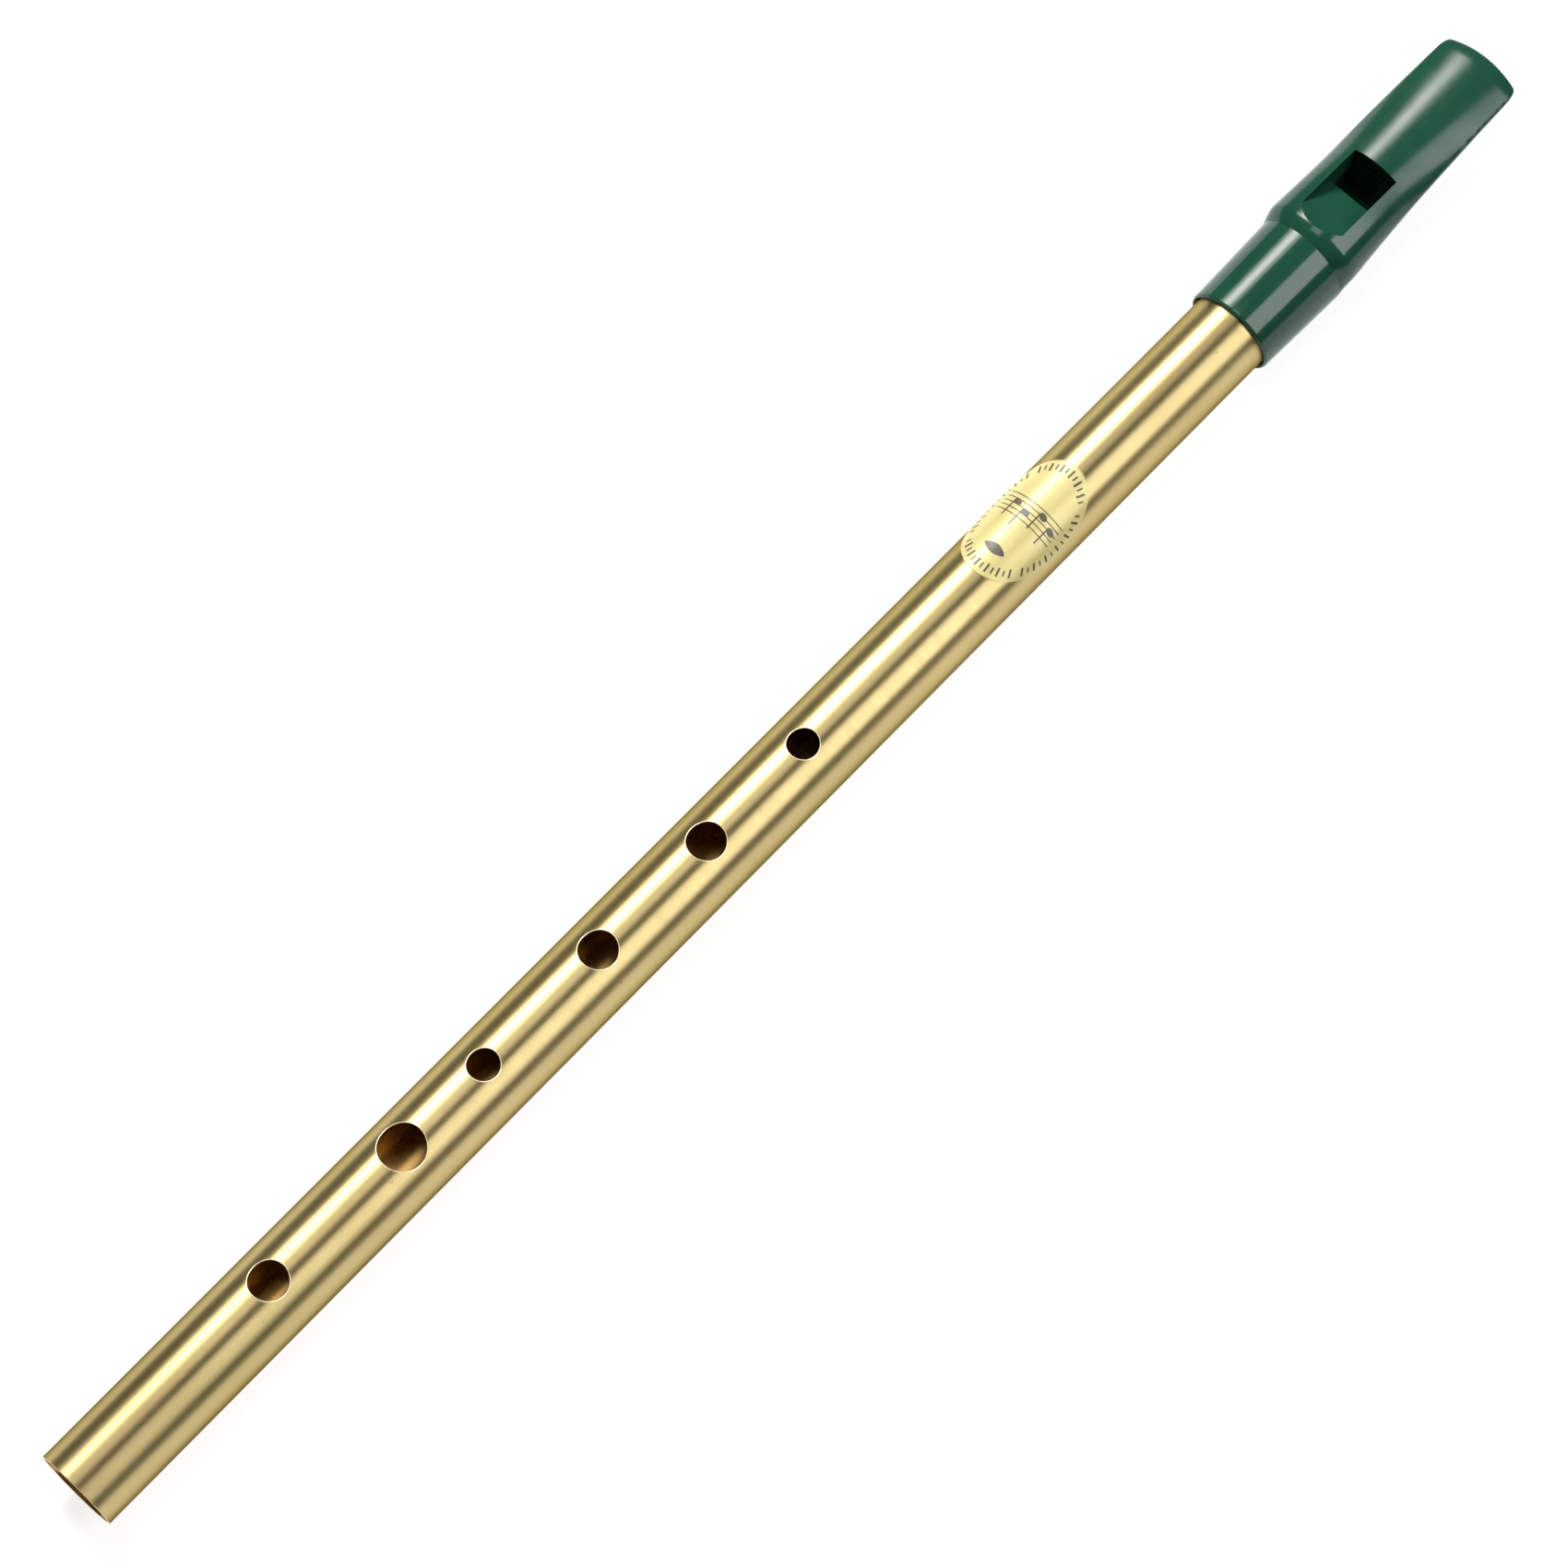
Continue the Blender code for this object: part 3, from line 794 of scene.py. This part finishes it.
def blob(shape, centre, half_sizes, tilt):
    """A filled oval of ink."""
    steps = 28
    middle = wrap(shape, *centre, INK_RADIUS)
    ring = []
    for turn in ring_points(steps):
        a, b = half_sizes[0] * math.cos(turn), half_sizes[1] * math.sin(turn)
        along = centre[0] + a * math.cos(tilt) - b * math.sin(tilt)
        around = centre[1] + a * math.sin(tilt) + b * math.cos(tilt)
        ring.append(wrap(shape, along, around, INK_RADIUS))
    for i in range(steps):
        shape.faces.new((middle, ring[i], ring[(i + 1) % steps]))


def line(shape, start, end, count, width):
    """A straight stroke of one width, with its points at even steps."""
    ribbon(shape, line_points(start, end, count), [width] * count)


def line_points(start, end, count):
    return [np.array(start) * (1 - t) + np.array(end) * t for t in np.linspace(0, 1, count)]


def print_rim(shape):
    """Short and long strokes in turn round the oval, with evenly spaced gaps."""
    size = np.array((LABEL_HALF_LENGTH, LABEL_HALF_WRAP))
    for i in range(PRINT_STROKES):
        if i % STROKES_PER_GROUP == GAP_IN_GROUP:
            continue
        turn = 2 * math.pi * (i + 0.5) / PRINT_STROKES
        place = np.array((math.cos(turn), math.sin(turn))) * size
        inward, outward, width = LONG_STROKE if i % 2 else SHORT_STROKE
        line(shape, place * (PRINT_RIM - inward), place * (PRINT_RIM + outward), 4, width)


def print_stave(shape):
    """Five lines round the tube, and four notes with stems."""
    for k in range(STAVE_LINES):
        along = STAVE_MIDDLE + STAVE_SPACING * (k - (STAVE_LINES - 1) / 2)
        ends = (along, -STAVE_HALF_WIDTH), (along, STAVE_HALF_WIDTH)
        line(shape, *ends, 40, STAVE_LINE_WIDTH)
    for around, offset in NOTES:
        along = STAVE_MIDDLE + offset
        blob(shape, (along, around), NOTE_HALF_SIZES, NOTE_TILT)
        side = around + STEM_SIDE
        line(shape, (along, side), (along - STEM_LENGTH, side), 10, STEM_WIDTH)


def print_leaf(shape):
    """A plain leaf, pointed at both ends."""
    count = 21
    ends = (LEAF_ALONG, -LEAF_HALF_LENGTH), (LEAF_ALONG, LEAF_HALF_LENGTH)
    swell = [math.sin(math.pi * t) ** 0.8 for t in np.linspace(0, 1, count)]
    widths = [LEAF_WIDTH * share + LEAF_POINT_WIDTH for share in swell]
    ribbon(shape, line_points(*ends, count), widths)


def make_label_print(material):
    """A generic printed design: a rim of small strokes, a stave with notes and a plain leaf."""
    shape = bmesh.new()
    print_rim(shape)
    print_stave(shape)
    print_leaf(shape)
    ink = object_from(shape, "label_print", [material])
    for face in ink.data.polygons:
        out = Vector((0, face.center.y, face.center.z - AXIS_HEIGHT))
        if face.normal.dot(out) < 0:
            face.flip()
    shade(ink, 40)
    return ink


def build_pieces():
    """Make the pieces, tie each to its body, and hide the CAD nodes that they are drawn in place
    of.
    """
    cut_brass = bare_edge_material()
    tube = make_tube(brass_material(), cut_brass, bore_material())
    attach(tube, "tube")
    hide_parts("tube")
    rims = make_hole_rims(cut_brass)
    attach(rims, "tube")
    shell_plastic = plastic_material(
        "green_plastic", (0.0054, 0.037, 0.0215), (0.0072, 0.047, 0.0275), 0.10, 0.17
    )
    head = make_head(shell_plastic)
    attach(head, "head")
    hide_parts("head_shell")
    block_plastic = plastic_material(
        "green_block_plastic", (0.0052, 0.037, 0.022), (0.007, 0.046, 0.027), 0.2, 0.3
    )
    block = make_block(block_plastic)
    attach(block, "head")
    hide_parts("fipple_block")
    film = make_label_film(film_material())
    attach(film, "tube")
    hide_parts("label")
    ink = make_label_print(ink_material())
    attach(ink, "tube")


# ---------------------------------------------------------------- stage

def make_floor():
    material, nodes, links = new_material("pale_floor")
    shader = nodes["Principled BSDF"]
    where = object_coordinates(nodes)
    tone = noise(nodes, links, where, (6, 6, 6), 3.0)
    colour = ramp(nodes, links, tone, ((0.3, (0.29, 0.29, 0.29)), (0.7, (0.31, 0.31, 0.31))))
    links.new(colour, shader.inputs["Base Color"])
    set_inputs(shader, Roughness=0.75)
    shader.inputs["Emission Color"].default_value = (1.0, 1.0, 1.0, 1.0)
    shader.inputs["Emission Strength"].default_value = 0.8
    shape = bmesh.new()
    bmesh.ops.create_grid(shape, x_segments=4, y_segments=4, size=4.0)
    floor = object_from(shape, "floor", [material])


def softbox(name, degrees, distance, x, size, radiance, colour=(1, 1, 1)):
    """A soft light turned about the tube's axis, with its first side along the tube."""
    light = bpy.data.lights.new(name, "AREA")
    light.shape = "RECTANGLE"
    light.size, light.size_y = size
    light.energy = 4 * radiance * size[0] * size[1]
    light.color = colour
    turn = math.radians(degrees)
    along = Vector((1, 0, 0))
    facing = Vector((0, math.sin(turn), math.cos(turn)))
    axes = Matrix((along, facing.cross(along), facing)).transposed().to_4x4()
    obj = bpy.data.objects.new(name, light)
    obj.matrix_world = Matrix.Translation(Vector((x, 0, AXIS_HEIGHT)) + distance * facing) @ axes
    bpy.context.scene.collection.objects.link(obj)


def make_lights():
    for number, (half_angle, radiance) in enumerate(KEY_LAYERS):
        size = KEY_LENGTH, 2 * KEY_DISTANCE * math.tan(math.radians(half_angle))
        place = KEY_ANGLE, KEY_DISTANCE, KEY_X
        softbox(f"key_left_{number}", *place, size, radiance, KEY_COLOUR)
    softbox("fill_right", *FILL_RIGHT)
    softbox("fill_top", *FILL_TOP)


def make_world():
    """A dim warm room in the light and the reflections, and a pale backdrop behind the floor."""
    world = bpy.data.worlds.new("studio")
    world.use_nodes = True
    nodes, links = world.node_tree.nodes, world.node_tree.links
    room = nodes["Background"]
    room.inputs["Color"].default_value = (1.0, 0.86, 0.5, 1.0)
    room.inputs["Strength"].default_value = 0.07
    backdrop = nodes.new("ShaderNodeBackground")
    backdrop.inputs["Color"].default_value = (1.0, 1.0, 1.0, 1.0)
    backdrop.inputs["Strength"].default_value = 0.9
    choice = nodes.new("ShaderNodeMixShader")
    links.new(nodes.new("ShaderNodeLightPath").outputs["Is Camera Ray"], choice.inputs["Fac"])
    links.new(room.outputs["Background"], choice.inputs[1])
    links.new(backdrop.outputs["Background"], choice.inputs[2])
    links.new(choice.outputs["Shader"], nodes["World Output"].inputs["Surface"])
    bpy.context.scene.world = world


def make_camera():
    data = bpy.data.cameras.new("camera")
    data.lens = CAMERA_LENS
    data.sensor_width = 36.0
    data.clip_end = 20.0
    camera = bpy.data.objects.new("camera", data)
    right = CAMERA_RIGHT.normalized()
    up = -CAMERA_DOWN.normalized()
    back = right.cross(up)
    camera.matrix_world = (
        Matrix.Translation(CAMERA_AT) @ Matrix((right, up, back)).transposed().to_4x4()
    )
    bpy.context.scene.collection.objects.link(camera)
    bpy.context.scene.camera = camera


def set_picture():
    scene = bpy.context.scene
    scene.view_settings.view_transform = "Standard"
    scene.view_settings.look = "None"
    scene.view_settings.exposure = 0.0


build_pieces()
make_floor()
make_lights()
make_world()
make_camera()
set_picture()

bpy.context.view_layer.update()
